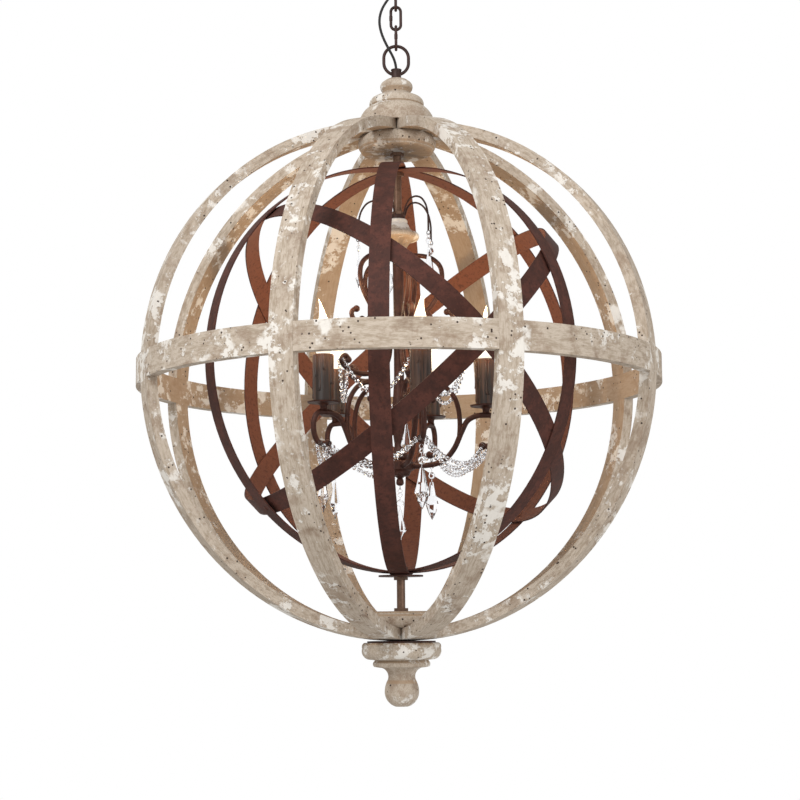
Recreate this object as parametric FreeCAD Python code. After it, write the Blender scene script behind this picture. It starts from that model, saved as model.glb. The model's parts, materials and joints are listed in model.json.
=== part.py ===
import FreeCAD, Part
import os
from math import asin, atan2, cos, degrees, radians, sin, sqrt, tan

# An orb chandelier: an open globe of eight wooden half ribs and one hoop, a cage of five steel
# straps inside it, and a five-light candelabra with cut-glass drops in the middle. It hangs from
# a ceiling canopy on four chain links. Millimetres, +Z up. The shapes are built round the centre
# of the globe and moved down when they are saved, so that the ceiling is at Z = 0.
# Angles round the lamp are measured from the front (-Y), positive to the right (+X).

os.makedirs("parts", exist_ok=True)

V = FreeCAD.Vector
UP = V(0, 0, 1)
CENTRE = V(0, 0, 0)

# ---- driving dimensions: wooden globe ----
globe_radius = 325.0          # outer face of the ribs
rib_count = 8
rib_width = 29.5
rib_thickness = 13.0
first_rib_angle = 21.9
mitre_gap = 0.8               # the split that shows where rib ends meet
hoop_height = 33.0
hoop_rise = 2.5               # the hoop sits this far above the middle
lap_gap = 0.1                 # glue line in the half-lap joints
seat_gap = 0.4                # turned pieces follow the curve of the ribs at this distance

# ---- turned wood ----
cap_height = 60.2
cap_base_radius = 48.0
cap_shoulder_radius = 34.5
cap_neck_radius = 17.4
cap_bead_radius = 19.5
disc_radius = 48.5
disc_height = 23.0
finial_disc_radius = 49.2
finial_disc_height = 21.0
finial_ring_radius = 35.2
finial_ring_height = 9.0
finial_neck_radius = 17.3
finial_ball_radius = 20.8

# ---- pipes, nuts and plates ----
pipe_radius = 5.15            # 1/8 IP lamp pipe
pipe_bore_radius = 3.6
pipe_clearance = 0.15
nut_across = 15.0
nut_height = 4.0
plate_thickness = 2.0
cage_plate_radius = 27.5
finial_plate_radius = 42.0

# ---- steel strap cage ----
cage_clearance = 56.0         # from the ribs' inner faces to the middle of the outermost strap
cage_rise = 12.0              # centre of the cage above the centre of the globe
strap_width = 24.0
strap_thickness = 1.6
strap_step = 1.8              # each ring is this much smaller than the one outside it
cage_ring_angles = (-5.0, -61.5, 52.0)
tilt_ring_tilts = (45.9, 44.9)
tilt_ring_angles = (113.3, -67.8)
rivet_radius = 1.6
rivet_head_radius = 3.2
rivet_head_height = 1.2

# ---- chain and loops ----
link_wire = 3.7
link_length = 34.0
link_width = 16.3
link_count = 4
weld_length = 6.0
weld_swell = 0.35
swing_gap = 0.3               # free play where one wire hangs on another
hang_loop_wire = 4.1
hang_loop_height = 42.0
hang_loop_width = 35.7
hang_loop_sink = 8.7          # how far the loop reaches down into its collar
hang_collar_height = 14.0
collar_radius = 7.0
collar_waist = 6.2
collar_socket_depth = 5.5     # thread depth for the lamp pipe
cord_hole_radius = 3.0
canopy_loop_wire = 4.0
canopy_loop_height = 27.0
canopy_loop_width = 26.0
canopy_loop_sink = 4.5
canopy_collar_height = 11.0

# ---- ceiling canopy ----
canopy_radius = 63.5
canopy_depth = 28.0
canopy_wall = 1.5
bracket_length = 104.0
bracket_width = 22.0
bracket_thickness = 3.0
slot_edge = 7.5               # from the middle of a slot to the bracket's end
slot_length = 12.0
slot_radius = 2.4

# ---- candelabra ----
light_count = 5
first_arm_angle = 13.7
hook_angle_offset = 36.0      # the glass hooks stand midway between the arms
candle_circle = 108.0
sleeve_radius = 12.5
sleeve_wall = 1.4
sleeve_height = 58.5
sleeve_base = -37.0
pan_radius = 20.0
pan_thickness = 1.6
pan_lip = 2.5
cup_radius = 5.2
cup_height = 8.0
socket_radius = 10.2
socket_wall = 3.6
socket_height = 50.0
bulb_radius = 13.0
bulb_length = 70.0
bulb_base_radius = 6.3
bulb_base_length = 24.0
arm_radius = 3.4
scroll_radius = 3.0
scroll_ball_radius = 5.0
hub_radius = 17.0
hub_height = 12.5
hub_top = -104.0
arm_seat = 6.0
collar_ring_radius = 12.0
collar_ring_height = 11.0
scroll_seat = 3.0
string_seat = 0.7             # from a bar's side to the string's first bead
string_gap = 0.15
urn_top = 202.5
urn_height = 41.0
urn_radius = 27.0
urn_neck_radius = 12.0
urn_foot_radius = 10.5
spindle_radius = 7.5
hook_wire_radius = 1.2
hook_reach = 50.0
hook_collar_radius = 9.5
hook_collar_height = 6.0

# ---- glass ----
bead_radius = 4.8
small_bead_radius = 3.1
eye_wire = 0.9
eye_radius = 2.6
bail_play = 0.3
glass_overlap = 0.5
upper_drop_length = 44.0
upper_drop_width = 14.0
lower_drop_length = 49.0
lower_drop_width = 18.0
centre_drop_length = 37.0
glass_depth = 0.62            # a drop is this share of its width from front to back

# ---- cord ----
cord_diameter = 3.3

# ---- heights that follow from the sizes above ----
cage_radius = globe_radius - rib_thickness - cage_clearance
slot_pitch = bracket_length - 2 * slot_edge
cap_base = globe_radius
cap_top = cap_base + cap_height
hang_loop_middle = cap_top + hang_collar_height - hang_loop_sink + hang_loop_height / 2
hang_loop_eye = hang_loop_middle + (hang_loop_height - hang_loop_wire) / 2
link_pitch = link_length - 2 * link_wire - swing_gap
link_inner = link_length - link_wire
first_link_foot = hang_loop_eye - (hang_loop_wire + link_wire) / 2 - swing_gap
last_link_head = first_link_foot + link_inner + (link_count - 1) * link_pitch
canopy_eye = last_link_head - (canopy_loop_wire + link_wire) / 2 - swing_gap
canopy_loop_middle = canopy_eye + (canopy_loop_height - canopy_loop_wire) / 2
canopy_face = canopy_loop_middle + canopy_loop_height / 2 + canopy_collar_height - canopy_loop_sink
ceiling = canopy_face + canopy_depth
cage_top = cage_rise + cage_radius + strap_thickness / 2
cage_bottom = cage_rise - cage_radius - strap_thickness / 2
inner_pole = globe_radius - rib_thickness
pipe_hole = pipe_radius + pipe_clearance
hub_bottom = hub_top - hub_height
light_angles = [first_arm_angle + n * 360.0 / light_count for n in range(light_count)]
hook_angles = [a + hook_angle_offset for a in light_angles]


def save(shape, name):
    """Move a finished piece down to its place under the ceiling and write it."""
    placed = shape.translated(V(0, 0, -ceiling))
    placed.exportStep("parts/" + name + ".step")
    kind = "ok" if placed.isValid() else "NOT VALID"
    print(name, kind, len(placed.Solids), "solid(s)", round(placed.Volume))


def side(angle):
    """The level direction that points outwards at an angle round the lamp."""
    return V(sin(radians(angle)), -cos(radians(angle)), 0)


def place(angle, radius, height):
    return side(angle) * radius + UP * height


def turn(shape, angle):
    """Turn a shape built towards the front (-Y) to its angle round the lamp."""
    return shape.rotated(CENTRE, UP, angle)


def disc(radius, bottom, height, hole=0.0):
    solid = Part.makeCylinder(radius, height, V(0, 0, bottom))
    if hole > 0:
        solid = solid.cut(Part.makeCylinder(hole, height + 2, V(0, 0, bottom - 1)))
    return solid


def turned(profile, hole):
    """Turn a profile of (radius, height) points about the vertical axis.

    A point is a corner; three numbers (radius, height, bulge) put an arc on the stretch that
    ends there, bulging outwards by that much (inwards when negative).
    """
    first = V(hole, 0, profile[0][1])
    last = V(hole, 0, profile[-1][1])
    edges = []
    here = first
    for point in profile:
        there = V(point[0], 0, point[1])
        if (there - here).Length > 1e-6:
            bulge = point[2] if len(point) > 2 else 0.0
            if bulge:
                along = (there - here).normalize()
                out = V(along.z, 0, -along.x)
                if here.z > there.z:
                    out = out * -1
                middle = (here + there) * 0.5 + out * bulge
                edges.append(Part.Arc(here, middle, there).toShape())
            else:
                edges.append(Part.makeLine(here, there))
        here = there
    edges.append(Part.makeLine(here, last))
    edges.append(Part.makeLine(last, first))
    return Part.Face(Part.Wire(edges)).revolve(CENTRE, UP, 360)


def bent_path(points):
    """Straight runs joined by tangent arcs, each as large as its two runs allow."""
    edges = []
    radii = []
    here = points[0]
    for n in range(1, len(points) - 1):
        back = points[n - 1] - points[n]
        ahead = points[n + 1] - points[n]
        half_turn = (3.14159265 - back.getAngle(ahead)) / 2
        reach = 0.45 * min(back.Length, ahead.Length)
        into = points[n] + back.normalize() * reach
        out = points[n] + ahead.normalize() * reach
        radius = reach / tan(half_turn)
        radii.append(radius)
        inward = ((into + out) * 0.5 - points[n]).normalize()
        middle = points[n] + inward * (radius / cos(half_turn) - radius)
        edges.append(Part.makeLine(here, into))
        edges.append(Part.Arc(into, middle, out).toShape())
        here = out
    edges.append(Part.makeLine(here, points[-1]))
    return Part.Wire(edges), radii


def rod(points, radius):
    """A round bar or wire along bent_path, with flat square ends."""
    path, radii = bent_path(points)
    start = (points[1] - points[0]).normalize()
    section = Part.Wire([Part.makeCircle(radius, points[0], start)])
    return path.makePipeShell([section], True, False), path.Length, radii


def upright_points(angle, pairs):
    """Points of a planar path, from (radius, height) pairs."""
    return [place(angle, r, z) for r, z in pairs]


def band(outer, thickness, width):
    """A flat hoop standing on edge, its axle along X, so that it passes front and back."""
    x0 = V(-width / 2, 0, 0)
    ring = Part.makeCylinder(outer, width, x0, V(1, 0, 0))
    return ring.cut(Part.makeCylinder(outer - thickness, width, x0, V(1, 0, 0)))


def hexagon(across, bottom, height, hole):
    corner = across / sqrt(3)
    points = [V(corner * cos(radians(60 * n)), corner * sin(radians(60 * n)), bottom) for n in range(7)]
    nut = Part.Face(Part.makePolygon(points)).extrude(UP * height)
    return nut.cut(Part.makeCylinder(hole, height + 2, V(0, 0, bottom - 1)))


# ---- wooden globe ----
hoop_bottom = hoop_rise - hoop_height / 2
lap_radius = globe_radius - rib_thickness / 2


def make_rib():
    """One half rib, towards the front, mitred at both poles and half-lapped over the hoop."""
    rib = band(globe_radius, rib_thickness, rib_width)
    reach = globe_radius + 20
    half_angle = 180.0 / rib_count
    start = mitre_gap / 2 / sin(radians(half_angle))
    spread = (reach - start) * tan(radians(half_angle))
    corners = [V(0, -start, -reach), V(spread, -reach, -reach), V(-spread, -reach, -reach), V(0, -start, -reach)]
    sector = Part.Face(Part.makePolygon(corners)).extrude(UP * 2 * reach)
    rib = rib.common(sector)
    rib = rib.cut(Part.makeCylinder(pipe_hole, 2 * reach, V(0, 0, -reach)))
    lap = disc(lap_radius + lap_gap / 2, hoop_bottom - lap_gap, hoop_height + 2 * lap_gap, lap_radius - rib_thickness)
    return rib.cut(lap)


def make_hoop():
    """The level hoop, notched from outside where each rib runs over it."""
    hoop = disc(globe_radius, hoop_bottom, hoop_height, globe_radius - rib_thickness)
    depth = globe_radius - lap_radius + 10
    for n in range(rib_count):
        notch_width = rib_width + 2 * lap_gap
        notch = Part.makeBox(notch_width, depth, hoop_height + 2,
                             V(-notch_width / 2, -globe_radius - 5, hoop_bottom - 1))
        notch = notch.cut(Part.makeCylinder(lap_radius - lap_gap / 2, hoop_height + 4, V(0, 0, hoop_bottom - 2)))
        hoop = hoop.cut(turn(notch, first_rib_angle + n * 360.0 / rib_count))
    return hoop


rib = make_rib()
for n in range(rib_count):
    save(turn(rib, first_rib_angle + n * 360.0 / rib_count), "rib_%d" % (n + 1))
save(make_hoop(), "equator_hoop")

# ---- turned wood on the poles ----
flare_top = cap_base + 24.5
shoulder_top = cap_base + 37.5
cap_profile = [
    (cap_base_radius, cap_base - 6.0),
    (cap_base_radius - 0.6, cap_base + 7.0, 0.6),
    (cap_shoulder_radius - 1.2, flare_top, 2.2),
    (cap_shoulder_radius, flare_top + 1.4),
    (cap_neck_radius + 2.6, shoulder_top - 2.6, 6.2),
    (cap_neck_radius + 0.6, shoulder_top),
    (cap_neck_radius, shoulder_top + 5.5, -0.5),
    (cap_bead_radius - 1.0, shoulder_top + 8.0),
    (cap_bead_radius - 4.0, cap_top - 2.0, 3.6),
    (cap_neck_radius - 6.0, cap_top, 0.8),
]
top_cap = turned(cap_profile, pipe_hole).cut(Part.makeSphere(globe_radius + seat_gap))
save(top_cap, "top_cap")

disc_low = inner_pole - disc_height
disc_profile = [
    (disc_radius - 6.5, disc_low),
    (disc_radius - 2.0, disc_low + 3.5, 1.2),
    (disc_radius - 3.0, inner_pole - 4.0, 3.4),
    (disc_radius - 9.0, inner_pole, 0.8),
]
inner_ball = Part.makeSphere(inner_pole - seat_gap)
top_disc = turned(disc_profile, pipe_hole).common(inner_ball)
save(top_disc, "top_disc")
save(top_disc.rotated(CENTRE, V(1, 0, 0), 180), "bottom_disc")

plate_low = -globe_radius - plate_thickness
finial_low = plate_low - finial_disc_height
ring_low = finial_low - finial_ring_height
neck_height = ring_low - 15.0
ball_low = neck_height - 32.0
finial_profile = [
    (finial_neck_radius * 0.45, ball_low),
    (finial_ball_radius, neck_height - 11.0, 4.6),
    (finial_neck_radius, neck_height, 0.6),
    (finial_ring_radius - 7.5, ring_low, -5.0),
    (finial_ring_radius - 1.5, ring_low + 1.0),
    (finial_ring_radius - 1.5, finial_low - 1.5, 1.5),
    (finial_ring_radius - 2.5, finial_low),
    (finial_disc_radius - 8.0, finial_low + 1.0),
    (finial_disc_radius - 1.0, plate_low - 6.5, 3.2),
    (finial_disc_radius - 3.5, plate_low, 1.4),
]
finial_socket_top = plate_low
finial_socket = Part.makeCylinder(pipe_hole, 18.0, V(0, 0, finial_socket_top - 17.0))
save(turned(finial_profile, 0.0).cut(finial_socket), "finial")

# ---- pipes, plates and nuts ----
collar_pipe_end = cap_top + collar_socket_depth - 0.5
hub_pipe_end = hub_bottom + 2.0
upper_pipe = disc(pipe_radius, hub_pipe_end, collar_pipe_end - hub_pipe_end, pipe_bore_radius)
lower_pipe_top = cage_bottom + 3 * strap_step + nut_height + 2.0
lower_pipe_low = finial_socket_top - 15.0
lower_pipe = disc(pipe_radius, lower_pipe_low, lower_pipe_top - lower_pipe_low, pipe_bore_radius)
save(Part.makeCompound([upper_pipe, lower_pipe]), "lamp_pipes")

cage_plate_low = cage_bottom - plate_thickness
top_plate_low = cage_top
clamp_plates = [
    disc(cage_plate_radius, cage_plate_low, plate_thickness, pipe_hole),
    disc(nut_across * 0.75, top_plate_low, plate_thickness, pipe_hole),
    disc(finial_plate_radius, plate_low, plate_thickness, pipe_hole),
]
save(Part.makeCompound(clamp_plates), "clamp_plates")

strap_stack = 2 * strap_step + strap_thickness
nut_sag = (nut_across / 2) ** 2 / (2 * cage_radius) + seat_gap
nut_places = [
    disc_low - nut_height,
    top_plate_low + plate_thickness,
    cage_top - strap_stack - nut_height - nut_sag,
    cage_bottom + strap_stack + nut_sag,
    cage_plate_low - nut_height,
    -disc_low,
    urn_top + hook_collar_height,
]
nuts = [hexagon(nut_across, z, nut_height, pipe_hole) for z in nut_places]
save(Part.makeCompound(nuts), "lock_nuts")

# ---- steel strap cage ----
cage_centre = V(0, 0, cage_rise)
pole_hole = Part.makeCylinder(pipe_hole, 3 * cage_radius, V(0, 0, -1.5 * cage_radius))


def strap_outer(order):
    """Outer radius of a strap, counted inwards from the outermost."""
    return cage_radius + strap_thickness / 2 - order * strap_step


def tilt_normal(index):
    lean = radians(tilt_ring_tilts[index])
    return UP * cos(lean) + side(tilt_ring_angles[index]) * sin(lean)


upright_normals = [side(a + 90) for a in cage_ring_angles]
tilt_normals = [tilt_normal(0), tilt_normal(1)]
riveted = [
    (upright_normals[1], 1, tilt_normals[0], 3),
    (upright_normals[1], 1, tilt_normals[1], 4),
    (tilt_normals[0], 3, tilt_normals[1], 4),
]


def rivet_ends():
    """Direction, inner and outer radius of each rivet where two straps cross."""
    ends = []
    for normal_a, order_a, normal_b, order_b in riveted:
        line = normal_a.cross(normal_b).normalize()
        outside = strap_outer(order_a)
        inside = strap_outer(order_b) - strap_thickness
        for way in (1, -1):
            ends.append((line * way, inside, outside))
    return ends


def make_rivets():
    rivets = []
    for line, inside, outside in rivet_ends():
        seat = inside - rivet_head_radius ** 2 / (2 * inside) - seat_gap
        shank = Part.makeCylinder(rivet_radius, outside - seat, cage_centre + line * seat, line)
        head = Part.makeCone(rivet_head_radius, rivet_head_radius * 0.55, rivet_head_height,
                             cage_centre + line * outside, line)
        tail = Part.makeCone(rivet_head_radius, rivet_head_radius * 0.55, rivet_head_height,
                             cage_centre + line * seat, line * -1)
        rivets.append(shank.fuse([head, tail]).removeSplitter())
    return rivets


rivet_holes = Part.makeCompound([
    Part.makeCylinder(rivet_radius + 0.05, 60.0, cage_centre + line * (inside - 30), line)
    for line, inside, outside in rivet_ends()
])


def make_strap_ring(normal, order):
    ring = band(strap_outer(order), strap_thickness, strap_width)
    ring.Placement = FreeCAD.Placement(cage_centre, FreeCAD.Rotation(V(1, 0, 0), normal))
    return ring.cut(rivet_holes)


for n, normal in enumerate(upright_normals):
    save(make_strap_ring(normal, n).cut(pole_hole), "cage_ring_%d" % (n + 1))
for n, normal in enumerate(tilt_normals):
    save(make_strap_ring(normal, n + 3), "tilted_ring_%d" % (n + 1))
save(Part.makeCompound(make_rivets()), "cage_rivets")

# ---- centre column of the candelabra ----
urn_low = urn_top - urn_height
urn_profile = [
    (urn_foot_radius, urn_low),
    (urn_foot_radius + 1.0, urn_low + 2.5, 0.6),
    (urn_foot_radius + 1.5, urn_low + 6.0, -0.6),
    (urn_radius - 2.0, urn_low + 15.0, -2.0),
    (urn_radius - 2.0, urn_low + 23.0, 2.0),
    (urn_neck_radius + 2.5, urn_low + 32.0, -1.8),
    (urn_neck_radius, urn_top - 5.0, 0.3),
    (urn_neck_radius - 0.8, urn_top, 0.8),
]
save(turned(urn_profile, pipe_hole), "urn")

collar_top = urn_low
collar_low = collar_top - collar_ring_height
hub_rod_top = hub_top
mid = (collar_low + hub_rod_top) / 2
spindle_profile = [
    (spindle_radius, hub_rod_top),
    (spindle_radius + 2.5, hub_rod_top + 8.0, 1.0),
    (spindle_radius - 1.0, hub_rod_top + 22.0, -1.0),
    (spindle_radius + 1.5, hub_rod_top + 60.0, 1.0),
    (spindle_radius - 1.2, mid - 24.0),
    (spindle_radius - 1.2, mid + 30.0),
    (spindle_radius, mid + 36.0),
    (spindle_radius, mid + 41.0, 1.0),
    (spindle_radius - 1.4, mid + 46.0),
    (spindle_radius - 0.6, collar_low),
]
save(turned(spindle_profile, pipe_hole), "spindle")


def radial_bores(height, outer, depth, radius, angles):
    """Blind holes into a round piece, one for the end of each bar."""
    bores = []
    for angle in angles:
        start = place(angle, outer - depth, height)
        bores.append(Part.makeCylinder(radius, depth + 5, start, side(angle)))
    return bores


arm_height = hub_top - hub_height / 2
scroll_height = (collar_top + collar_low) / 2
hub_profile = [
    (hub_radius - 4.0, hub_bottom - 4.0),
    (hub_radius - 2.5, hub_bottom, -0.6),
    (hub_radius, hub_bottom + 1.5),
    (hub_radius, hub_top - 1.5),
    (hub_radius - 1.5, hub_top),
]
hub = turned(hub_profile, pipe_hole)
hub = hub.cut(radial_bores(arm_height, hub_radius, arm_seat, arm_radius, light_angles))
save(hub, "hub")

knob_top = hub_bottom - 4.0
knob_profile = [
    (1.6, knob_top - 14.0),
    (4.6, knob_top - 9.0, 1.4),
    (3.2, knob_top - 5.0, 0.4),
    (hub_radius - 5.5, knob_top - 2.0, -1.2),
    (hub_radius - 5.5, knob_top),
    (pipe_radius - 0.5, knob_top),
    (pipe_radius - 0.5, knob_top + 3.5),
]
knob = turned(knob_profile, 0.0)
centre_eye_height = knob_top - 14.0 - eye_radius + 0.4
centre_eye = Part.makeTorus(eye_radius, eye_wire / 2, V(0, 0, centre_eye_height), V(1, 0, 0))
save(knob.fuse(centre_eye), "hub_knob")



# ---- five arms ----
def make_arm():
    """One arm to the front: a rising S, an arch over to a rolled end, and a C-shaped brace."""
    top = arch_height
    start = hub_radius - arm_seat
    arm_points = [
        (start, arm_height), (start + 18, arm_height), (46, arm_height + 2), (59, arm_height + 9),
        (69, arm_height + 22), (76, arm_height + 39), (84, top - 6), (96, top),
        (candle_circle + 8, top), (candle_circle + 14, top - 11), (candle_circle + 14, top - 26),
        (arm_eye_radius + 7, arm_low), (arm_eye_radius - 6, arm_low),
    ]
    arm, _, _ = rod(upright_points(0, arm_points), arm_radius)
    ball = Part.makeSphere(scroll_ball_radius, place(0, arm_eye_radius - 6, arm_low))
    brace_points = [
        (74, arm_height + 32), (75.5, arm_height + 50), (74.5, arm_height + 68), (70, arm_height + 84),
        (60, arm_height + 97), (47, arm_height + 103), (33, arm_height + 101), (26, arm_height + 91),
        (brace_eye_radius - 5, brace_low), (brace_eye_radius + 7, brace_low),
    ]
    brace, _, _ = rod(upright_points(0, brace_points), scroll_radius)
    tip = Part.makeSphere(scroll_ball_radius * 0.8, place(0, brace_eye_radius + 7, brace_low))
    eye = Part.makeTorus(eye_radius, eye_wire / 2, place(0, arm_eye_radius, arm_eye_height), V(1, 0, 0))
    return arm.fuse([ball, brace, tip, eye])


arch_height = sleeve_base - cup_height - arm_radius
arm_low = arch_height - 38.5
arm_eye_radius = candle_circle + 1.0
arm_eye_height = arm_low - arm_radius - eye_radius
brace_low = arm_height + 82
brace_eye_radius = 35.1
brace_eye_height = brace_low - scroll_radius - eye_radius
arm = make_arm()
brace_eye = Part.makeTorus(eye_radius, eye_wire / 2, place(0, brace_eye_radius, brace_eye_height), V(1, 0, 0))
for n, angle in enumerate(light_angles):
    piece = arm.fuse(brace_eye) if n == 0 else arm
    save(turn(piece, angle), "arm_%d" % (n + 1))


# ---- five upper scrolls ----
def make_scroll():
    """One long S bar: out from the collar under the urn, in to the spindle, out to a rolled end."""
    main_points = [
        (collar_ring_radius - scroll_seat, scroll_height), (26, scroll_height), (42, scroll_height - 3),
        (54, scroll_height - 14), (56, scroll_height - 30), (52, scroll_height - 47),
        (44, scroll_height - 62), (32.5, scroll_height - 75), (21, scroll_height - 90),
        (14, scroll_height - 107), (14.5, scroll_height - 124), (21, scroll_height - 139),
        (34, scroll_height - 150), (50, scroll_height - 155), (67, scroll_height - 152),
        (79, scroll_height - 146), (scroll_tip_radius, scroll_tip_height), (78, scroll_height - 131),
        (72, scroll_height - 137),
    ]
    main, _, _ = rod(upright_points(0, main_points), scroll_radius)
    curl_points = [
        (36, scroll_height - 72), (43, scroll_height - 84), (54, scroll_height - 91),
        (66, scroll_height - 87), (69, scroll_height - 77), (61, scroll_height - 72),
    ]
    curl, _, _ = rod(upright_points(0, curl_points), scroll_radius)
    tips = [Part.makeSphere(scroll_ball_radius * 0.85, place(0, 73, scroll_height - 138)),
            Part.makeSphere(scroll_ball_radius * 0.85, place(0, 61, scroll_height - 73))]
    return main.fuse([curl] + tips)


scroll_tip_radius = 84.0
scroll_tip_height = scroll_height - 139
scroll = make_scroll()
scroll_collar = disc(collar_ring_radius, collar_low, collar_ring_height, pipe_hole)
scroll_collar = scroll_collar.cut(
    radial_bores(scroll_height, collar_ring_radius, scroll_seat, scroll_radius, light_angles))
save(Part.makeCompound([scroll_collar] + [turn(scroll, angle) for angle in light_angles]), "upper_scrolls")

# ---- glass hooks on top of the urn ----
hook_collar_low = urn_top
hook_height = hook_collar_low + hook_collar_height / 2
hook_end = urn_top - 21.5


def make_hooks():
    """Five shepherd's-crook wires on one collar, each ending in a small eye."""
    collar = disc(hook_collar_radius, hook_collar_low, hook_collar_height, pipe_hole)
    solids = []
    for angle in hook_angles:
        wire_points = [
            (hook_collar_radius - 1.5, hook_height), (hook_collar_radius + 1.5, hook_height + 5),
            (hook_collar_radius + 4, hook_height + 13), (hook_collar_radius + 10, hook_height + 21),
            (hook_reach - 21, hook_height + 23.5), (hook_reach - 11, hook_height + 20),
            (hook_reach - 3.5, hook_height + 10), (hook_reach, hook_height - 4),
            (hook_reach, hook_end),
        ]
        wire, _, _ = rod(upright_points(angle, wire_points), hook_wire_radius)
        eye = Part.makeTorus(eye_radius, eye_wire / 2, place(angle, hook_reach, hook_end - eye_radius),
                             side(angle + 90))
        solids += [wire, eye]
    return collar.fuse(solids)


save(make_hooks(), "glass_hooks")


# ---- lights ----
def ring_of(make, angles):
    """The same piece on each light, all solids of one node."""
    return Part.makeCompound([make().translated(place(a, candle_circle, 0)) for a in angles])


def make_pan():
    """Drip pan with its stem, which stands on the arch of the arm."""
    stem_low = sleeve_base - pan_thickness - cup_height
    profile = [
        (cup_radius, stem_low),
        (cup_radius - 0.9, stem_low + cup_height * 0.5, -0.4),
        (cup_radius + 1.6, stem_low + cup_height, -0.6),
        (pan_radius - 1.0, stem_low + cup_height + pan_lip - pan_thickness, -0.8),
        (pan_radius, stem_low + cup_height + pan_lip),
        (pan_radius - 2.0, stem_low + cup_height + pan_lip),
        (sleeve_radius + 1.5, sleeve_base, 0.3),
    ]
    saddle = Part.makeCylinder(arm_radius, 60, V(0, -30, sleeve_base - cup_height - arm_radius), V(0, 1, 0))
    return turned(profile, 0.0).cut(saddle)


def make_pans():
    pans = []
    for angle in light_angles:
        pans.append(turn(make_pan(), angle).translated(place(angle, candle_circle, 0)))
    return Part.makeCompound(pans)


def make_sleeve():
    """Resin candle sleeve, open at the top."""
    return disc(sleeve_radius, sleeve_base, sleeve_height, sleeve_radius - sleeve_wall)


def make_socket():
    """Lamp holder on a short post inside the sleeve."""
    top = sleeve_base + socket_height
    holder = disc(socket_radius, top - bulb_base_length - 2.0, bulb_base_length + 2.0)
    holder = holder.cut(Part.makeCylinder(bulb_base_radius + 0.15, bulb_base_length,
                                          V(0, 0, top - bulb_base_length)))
    post = disc(pipe_radius - 0.4, sleeve_base, socket_height - bulb_base_length)
    return holder.fuse(post)


bulb_foot = sleeve_base + socket_height - bulb_base_length
glass_foot = sleeve_base + sleeve_height - 6.0


def make_bulb():
    """Flame-shaped lamp with its screw base."""
    top = glass_foot + bulb_length + 6.0
    profile = [
        (bulb_base_radius, bulb_foot + 0.1),
        (bulb_base_radius, glass_foot - 1.0),
        (bulb_radius - 4.0, glass_foot + 7.0, 0.8),
        (bulb_radius, glass_foot + 22.0, 0.8),
        (bulb_radius - 5.2, glass_foot + 46.0, 2.2),
        (2.2, glass_foot + 68.0, -0.5),
        (0.4, top, 0.3),
    ]
    return turned(profile, 0.0)


save(make_pans(), "drip_pans")
save(ring_of(make_sleeve, light_angles), "candle_sleeves")
save(ring_of(make_socket, light_angles), "lamp_holders")
save(ring_of(make_bulb, light_angles), "bulbs")


# ---- glass ----
def cut_stone(levels, corners, depth=1.0):
    """A faceted stone from (half width, height) levels, with a point where the width is 0."""
    rings = []
    for width, height in levels:
        if width == 0:
            rings.append([V(0, 0, height)])
        else:
            rings.append([V(width * cos(radians(360.0 * k / corners)),
                            width * depth * sin(radians(360.0 * k / corners)), height)
                          for k in range(corners)])
    faces = []
    for low, high in zip(rings, rings[1:]):
        for k in range(corners):
            a = low[k % len(low)]
            b = low[(k + 1) % len(low)]
            c = high[(k + 1) % len(high)]
            d = high[k % len(high)]
            if a == b:
                faces.append(Part.Face(Part.makePolygon([a, c, d, a])))
            elif c == d:
                faces.append(Part.Face(Part.makePolygon([a, b, c, a])))
            else:
                faces.append(Part.Face(Part.makePolygon([a, b, c, a])))
                faces.append(Part.Face(Part.makePolygon([a, c, d, a])))
    for ring in (rings[0], rings[-1]):
        if len(ring) > 1:
            faces.append(Part.Face(Part.makePolygon(ring + [ring[0]])))
    solid = Part.makeSolid(Part.makeShell(faces))
    if solid.Volume < 0:
        solid.reverse()
    return solid


def octagon_bead(top, radius):
    """A flat eight-sided bead that hangs from its top, its face to the outside."""
    middle = top - radius
    thin = radius * 0.42
    bead = cut_stone([(radius * 0.62, -thin), (radius, 0.0), (radius * 0.62, thin)], 8)
    return bead.rotated(CENTRE, V(1, 0, 0), 90).translated(V(0, 0, middle))


def kite_drop(top, length, width):
    low = top - length
    return cut_stone([(0, low), (width / 2, low + length * 0.3), (width * 0.3, low + length * 0.62),
                      (width * 0.1, top)], 6, glass_depth)


def spear_drop(top, length, width):
    low = top - length
    return cut_stone([(0, low), (width * 0.3, low + length * 0.2), (width / 2, low + length * 0.42),
                      (width * 0.33, low + length * 0.64), (width * 0.14, top)], 6, glass_depth)


def make_pendant(eye_height, pin_length, beads, drop):
    """Bail ring through the eye above, pins, beads and the drop, joined as one hanging piece."""
    bail_middle = eye_height - 2 * eye_radius + eye_wire + bail_play
    solids = [Part.makeTorus(eye_radius, eye_wire / 2, V(0, 0, bail_middle), V(0, 1, 0))]
    here = bail_middle - eye_radius
    for radius in beads:
        solids.append(octagon_bead(here + glass_overlap, radius))
        here = here + glass_overlap - 2 * radius
        solids.append(Part.makeCylinder(eye_wire / 2 + 0.1, pin_length + 2 * glass_overlap,
                                        V(0, 0, here - pin_length - glass_overlap)))
        here = here - pin_length
    solids.append(drop(here))
    return solids[0].fuse(solids[1:])


def upper_drop(top):
    return kite_drop(top, upper_drop_length, upper_drop_width)


def lower_drop(top):
    return spear_drop(top, lower_drop_length, lower_drop_width)


def centre_drop(top):
    return kite_drop(top, centre_drop_length, upper_drop_width)


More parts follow.
